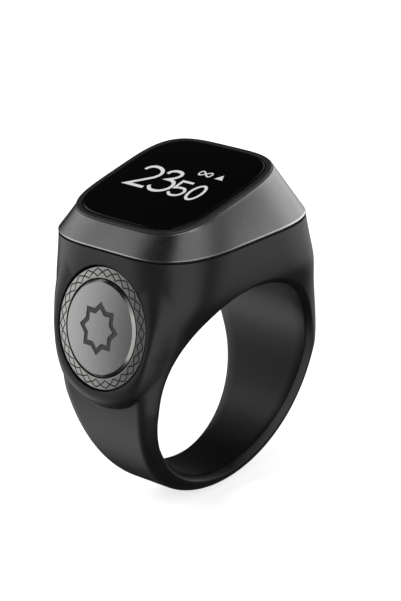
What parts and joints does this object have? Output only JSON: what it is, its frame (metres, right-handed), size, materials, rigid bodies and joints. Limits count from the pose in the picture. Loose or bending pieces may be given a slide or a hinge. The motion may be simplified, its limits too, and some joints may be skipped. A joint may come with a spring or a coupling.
{
  "type": "smart counter ring",
  "caption": "Finger ring for keeping count of prayers: a moulded band with a tilted square display in its head and a round press button on its shoulder.",
  "frame": {"origin": "centre of the finger bore", "axes": "+Z points from the finger to the display, +Y runs along the finger, and the button faces -X"},
  "size_m": [0.0247, 0.0196, 0.0322],
  "materials": {
    "shell_plastic": "moulded, fine satin texture",
    "bezel_metal": "gunmetal, satin polished",
    "black_rubber": "matte gasket and adhesive",
    "frame_plastic": "moulded, satin",
    "cover_glass": "polished, black behind",
    "display_module": "laminated display panel",
    "flex_film": "polyimide film",
    "tray_plastic": "moulded",
    "circuit_board": "solder mask",
    "chip_epoxy": "moulded epoxy",
    "white_ceramic": "fired ceramic",
    "connector_plastic": "moulded",
    "cell_foil": "laminated foil pouch",
    "foam": "closed-cell foam tape",
    "contact_gold": "gold plated",
    "motor_steel": "drawn steel",
    "rotor_weight": "sintered heavy alloy",
    "button_ring_metal": "satin, engraved lattice",
    "button_cap_metal": "satin face, polished bevel",
    "seal_silicone": "matte silicone",
    "switch_plastic": "moulded",
    "plunger_plastic": "moulded",
    "screw_steel": "plated"
  },
  "bodies": {
    "ring": {"ring_shell": "shell_plastic", "bezel": "bezel_metal", "bezel_seal": "black_rubber", "window_frame": "frame_plastic", "display_window": "cover_glass", "window_adhesive": "black_rubber", "oled_panel": "display_module", "oled_flex": "flex_film", "display_tray": "tray_plastic", "main_board": "circuit_board", "processor_chip": "chip_epoxy", "charger_chip": "chip_epoxy", "motion_sensor": "chip_epoxy", "clock_crystal": "motor_steel", "antenna_chip": "white_ceramic", "flex_connector": "connector_plastic", "battery_cell": "cell_foil", "battery_protection": "circuit_board", "battery_pad": "foam", "charge_contact_front": "contact_gold", "charge_contact_rear": "contact_gold", "charge_flex": "flex_film", "motor_base": "circuit_board", "motor_case": "motor_steel", "motor_shaft": "motor_steel", "board_screw_front": "screw_steel", "board_screw_rear": "screw_steel", "button_ring": "button_ring_metal", "button_seal": "seal_silicone", "switch_body": "switch_plastic", "button_flex": "flex_film"},
    "button": {"button_cap": "button_cap_metal"},
    "plunger": {"switch_plunger": "plunger_plastic"},
    "rotor": {"motor_rotor": "rotor_weight"}
  },
  "joints": [
    {"name": "button_press", "type": "slide", "parent": "ring", "child": "button", "axis": [0.9699, 0, -0.2436], "range_m": [0, 0.00035], "stiffness_N_per_m": 2000},
    {"name": "plunger_press", "type": "slide", "parent": "ring", "child": "plunger", "axis": [0.9699, 0, -0.2436], "range_m": [0, 0.00035]},
    {"name": "rotor_spin", "type": "hinge", "parent": "ring", "child": "rotor", "pos_m": [0.00105, 0, 0.01504], "axis": [0, 0, 1], "continuous": true}
  ],
  "couplings": [
    {"joint": "plunger_press", "follows": "button_press", "ratio": 1}
  ]
}
